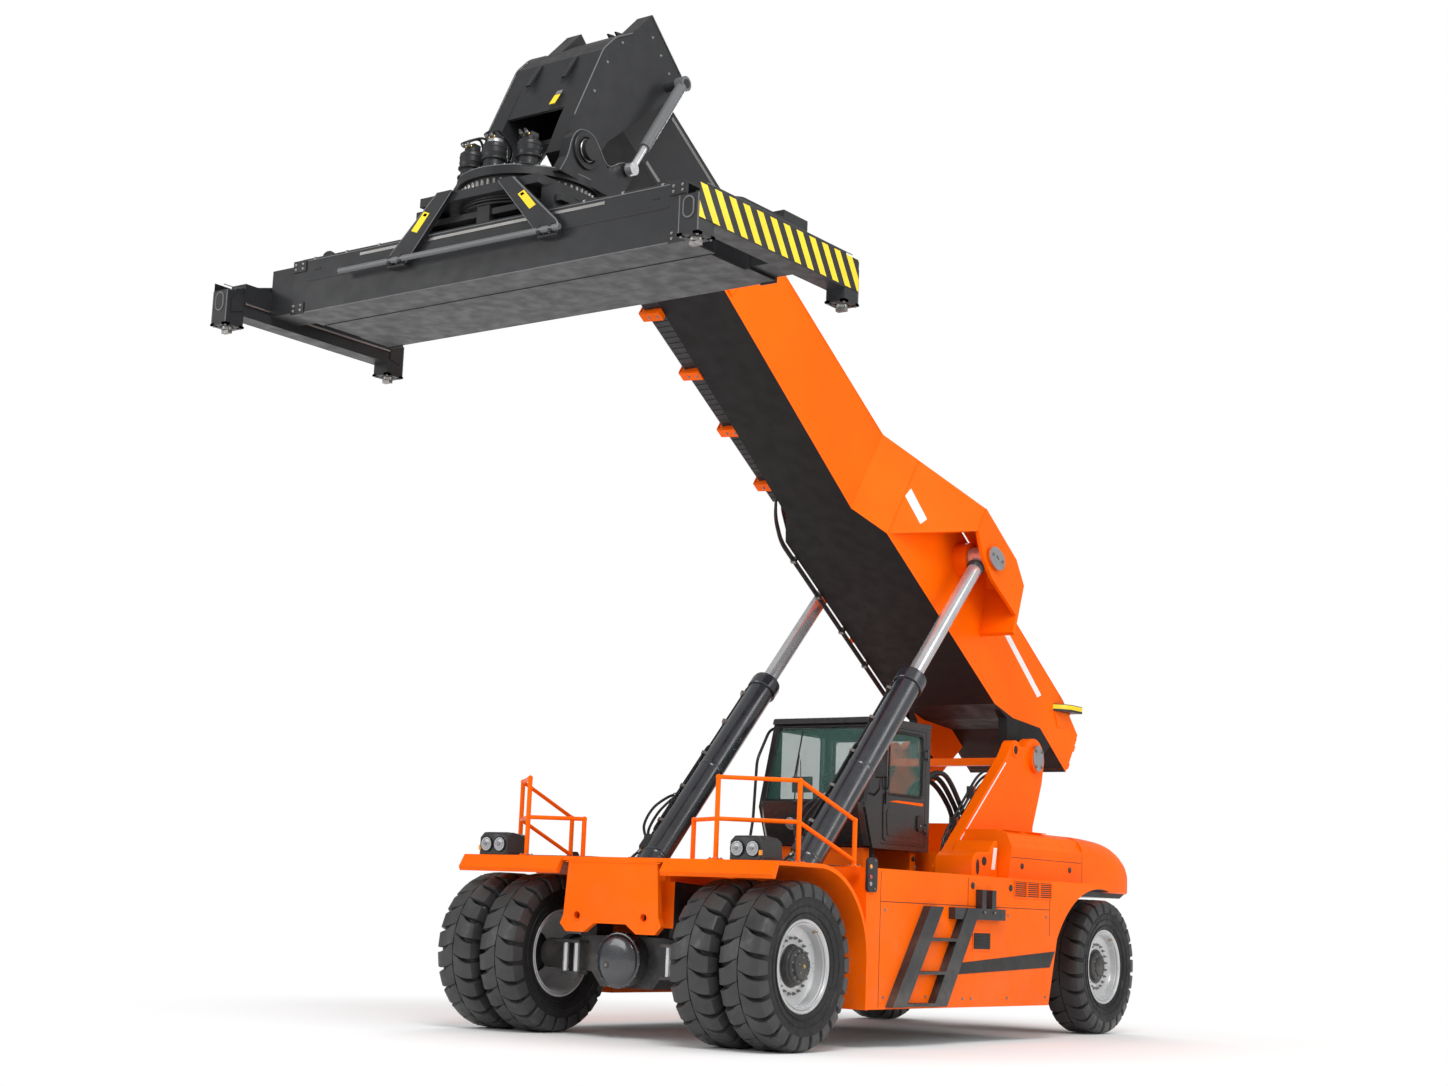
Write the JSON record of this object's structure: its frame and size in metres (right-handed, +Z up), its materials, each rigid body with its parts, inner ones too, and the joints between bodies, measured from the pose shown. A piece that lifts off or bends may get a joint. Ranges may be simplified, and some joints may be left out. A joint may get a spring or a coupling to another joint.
{
  "type": "reach stacker",
  "caption": "Container reach stacker with a telescopic boom on lift cylinders, a levelled rotating spreader with telescoping end beams and twistlocks, and steered rear wheels.",
  "frame": {"origin": "On the floor under the centre of the overall box, with the spreader centred and the boom at its stored angle", "axes": "+X the machine's left, +Y towards the counterweight (the machine drives towards -Y), +Z up; the front axle is at y = -2.40 m"},
  "size_m": [6.063, 11.756, 10.2049],
  "materials": {
    "bare_steel": "bare worked steel",
    "black_paint": "semi-gloss black paint",
    "black_plastic": "black energy chain plastic",
    "cab_grey": "satin black-grey paint",
    "cab_trim": "moulded dark plastic",
    "cast_metal": "painted cast iron",
    "chrome_rod": "hard chrome",
    "dark_grey_paint": "satin dark grey paint",
    "green_glass": "green tinted safety glass",
    "orange_paint": "gloss orange machine paint",
    "seat_fabric": "dark woven fabric",
    "silver_paint": "silver wheel paint",
    "tyre_rubber": "matt black rubber"
  },
  "bodies": {
    "chassis": {"main_frame": "orange_paint", "drive_axle": "black_paint", "steer_axle": "black_paint", "fender_left": "orange_paint", "fender_right": "orange_paint", "side_tank_left": "orange_paint", "side_tank_right": "orange_paint", "access_ladder": "black_paint", "engine_hood": "orange_paint", "counterweight": "orange_paint", "engine_block": "cast_metal", "boom_tower": "orange_paint", "cab_shell": "cab_grey", "cab_glass": "green_glass", "driver_seat": "seat_fabric", "control_console": "cab_trim", "handrails": "orange_paint", "headlamps": "dark_grey_paint"},
    "cab_door": {"cab_door": "cab_grey", "door_glass": "green_glass"},
    "front_wheels_left": {"front_tyres_left": "tyre_rubber", "front_rims_left": "silver_paint"},
    "front_wheels_right": {"front_tyres_right": "tyre_rubber", "front_rims_right": "silver_paint"},
    "steer_knuckle_left": {"steer_knuckle_left": "black_paint"},
    "steer_knuckle_right": {"steer_knuckle_right": "black_paint"},
    "rear_wheel_left": {"rear_tyre_left": "tyre_rubber", "rear_rim_left": "silver_paint"},
    "rear_wheel_right": {"rear_tyre_right": "tyre_rubber", "rear_rim_right": "silver_paint"},
    "outer_boom": {"outer_boom": "orange_paint", "hose_channel": "black_plastic"},
    "inner_boom": {"inner_boom": "dark_grey_paint", "boom_head": "dark_grey_paint"},
    "lift_barrel_left": {"lift_barrel_left": "black_paint"},
    "lift_barrel_right": {"lift_barrel_right": "black_paint"},
    "lift_rod_left": {"lift_rod_left": "chrome_rod"},
    "lift_rod_right": {"lift_rod_right": "chrome_rod"},
    "tilt_yoke": {"tilt_yoke": "dark_grey_paint"},
    "damper_barrels": {"damper_barrels": "black_paint"},
    "damper_rods": {"damper_rods": "chrome_rod"},
    "rotator": {"slew_rotator": "dark_grey_paint", "spreader_frame": "dark_grey_paint"},
    "main_beam": {"main_beam": "dark_grey_paint"},
    "end_beam_left": {"end_beam_left": "dark_grey_paint"},
    "end_beam_right": {"end_beam_right": "dark_grey_paint"},
    "twistlock_front_left": {"twistlock_front_left": "bare_steel"},
    "twistlock_front_right": {"twistlock_front_right": "bare_steel"},
    "twistlock_rear_left": {"twistlock_rear_left": "bare_steel"},
    "twistlock_rear_right": {"twistlock_rear_right": "bare_steel"}
  },
  "joints": [
    {"name": "front_wheels_left_spin", "type": "hinge", "parent": "chassis", "child": "front_wheels_left", "pos_m": [1.49, -2.4, 0.8], "axis": [1, 0, 0], "continuous": true},
    {"name": "front_wheels_right_spin", "type": "hinge", "parent": "chassis", "child": "front_wheels_right", "pos_m": [-1.49, -2.4, 0.8], "axis": [1, 0, 0], "continuous": true},
    {"name": "steer_left", "type": "hinge", "parent": "chassis", "child": "steer_knuckle_left", "pos_m": [1.15, 4.6, 0.8], "axis": [0, 0, 1], "range_deg": [-35, 35]},
    {"name": "steer_right", "type": "hinge", "parent": "chassis", "child": "steer_knuckle_right", "pos_m": [-1.15, 4.6, 0.8], "axis": [0, 0, 1], "range_deg": [-35, 35]},
    {"name": "rear_wheel_left_spin", "type": "hinge", "parent": "steer_knuckle_left", "child": "rear_wheel_left", "pos_m": [1.48, 4.6, 0.8], "axis": [1, 0, 0], "continuous": true},
    {"name": "rear_wheel_right_spin", "type": "hinge", "parent": "steer_knuckle_right", "child": "rear_wheel_right", "pos_m": [-1.48, 4.6, 0.8], "axis": [1, 0, 0], "continuous": true},
    {"name": "boom_lift", "type": "hinge", "parent": "chassis", "child": "outer_boom", "pos_m": [0, 4.2, 3.27], "axis": [1, 0, 0], "range_deg": [-27, 29]},
    {"name": "boom_extend", "type": "slide", "parent": "outer_boom", "child": "inner_boom", "axis": [0, -0.8387, 0.5446], "range_m": [0, 6]},
    {"name": "lift_barrel_left_swing", "type": "hinge", "parent": "chassis", "child": "lift_barrel_left", "pos_m": [1, -1.14, 1.6], "axis": [1, 0, 0], "range_deg": [-6, 6]},
    {"name": "lift_rod_left_slide", "type": "slide", "parent": "lift_barrel_left", "child": "lift_rod_left", "axis": [0, 0.6876, 0.7261], "range_m": [-1.4, 1.3]},
    {"name": "lift_barrel_right_swing", "type": "hinge", "parent": "chassis", "child": "lift_barrel_right", "pos_m": [-1, -1.14, 1.6], "axis": [1, 0, 0], "range_deg": [-6, 6]},
    {"name": "lift_rod_right_slide", "type": "slide", "parent": "lift_barrel_right", "child": "lift_rod_right", "axis": [0, 0.6876, 0.7261], "range_m": [-1.4, 1.3]},
    {"name": "yoke_level", "type": "hinge", "parent": "inner_boom", "child": "tilt_yoke", "pos_m": [0, -4.65149, 8.38627], "axis": [1, 0, 0], "range_deg": [-30, 28]},
    {"name": "damper_swing", "type": "hinge", "parent": "inner_boom", "child": "damper_barrels", "pos_m": [0, -3.2811, 9.52335], "axis": [1, 0, 0], "range_deg": [-9, 9]},
    {"name": "damper_slide", "type": "slide", "parent": "damper_barrels", "child": "damper_rods", "axis": [0, -0.5508, -0.8346], "range_m": [-0.3, 0.35]},
    {"name": "rotator_turn", "type": "hinge", "parent": "tilt_yoke", "child": "rotator", "pos_m": [0, -4.65149, 7.88627], "axis": [0, 0, 1], "range_deg": [-195, 105]},
    {"name": "side_shift", "type": "slide", "parent": "rotator", "child": "main_beam", "axis": [1, 0, 0], "range_m": [-0.8, 0.8]},
    {"name": "beam_left_extend", "type": "slide", "parent": "main_beam", "child": "end_beam_left", "axis": [1, 0, 0], "range_m": [0, 3.047]},
    {"name": "beam_right_extend", "type": "slide", "parent": "main_beam", "child": "end_beam_right", "axis": [-1, 0, 0], "range_m": [0, 3.047]},
    {"name": "twistlock_front_left_turn", "type": "hinge", "parent": "end_beam_left", "child": "twistlock_front_left", "pos_m": [2.9265, -5.78099, 6.9], "axis": [0, 0, 1], "range_deg": [0, 90]},
    {"name": "twistlock_front_right_turn", "type": "hinge", "parent": "end_beam_right", "child": "twistlock_front_right", "pos_m": [-2.9265, -5.78099, 6.9], "axis": [0, 0, 1], "range_deg": [0, 90]},
    {"name": "twistlock_rear_left_turn", "type": "hinge", "parent": "end_beam_left", "child": "twistlock_rear_left", "pos_m": [2.9265, -3.52198, 6.9], "axis": [0, 0, 1], "range_deg": [0, 90]},
    {"name": "twistlock_rear_right_turn", "type": "hinge", "parent": "end_beam_right", "child": "twistlock_rear_right", "pos_m": [-2.9265, -3.52198, 6.9], "axis": [0, 0, 1], "range_deg": [0, 90]},
    {"name": "cab_door_swing", "type": "hinge", "parent": "chassis", "child": "cab_door", "pos_m": [0.745, 1.9, 2.8], "axis": [0, 0, 1], "range_deg": [0, 95]}
  ],
  "couplings": [
    {"joint": "steer_right", "follows": "steer_left", "ratio": 1},
    {"joint": "yoke_level", "follows": "boom_lift", "ratio": -1},
    {"joint": "beam_right_extend", "follows": "beam_left_extend", "ratio": 1},
    {"joint": "damper_swing", "follows": "boom_lift", "ratio": 0.2192},
    {"joint": "damper_slide", "follows": "boom_lift", "m_per_rad": 0.4751},
    {"joint": "lift_barrel_left_swing", "follows": "boom_lift", "ratio": 0.0966},
    {"joint": "lift_rod_left_slide", "follows": "boom_lift", "m_per_rad": -2.6855},
    {"joint": "lift_barrel_right_swing", "follows": "boom_lift", "ratio": 0.0966},
    {"joint": "lift_rod_right_slide", "follows": "boom_lift", "m_per_rad": -2.6855},
    {"joint": "twistlock_rear_left_turn", "follows": "twistlock_front_left_turn", "ratio": 1},
    {"joint": "twistlock_front_right_turn", "follows": "twistlock_front_left_turn", "ratio": 1},
    {"joint": "twistlock_rear_right_turn", "follows": "twistlock_front_left_turn", "ratio": 1}
  ]
}
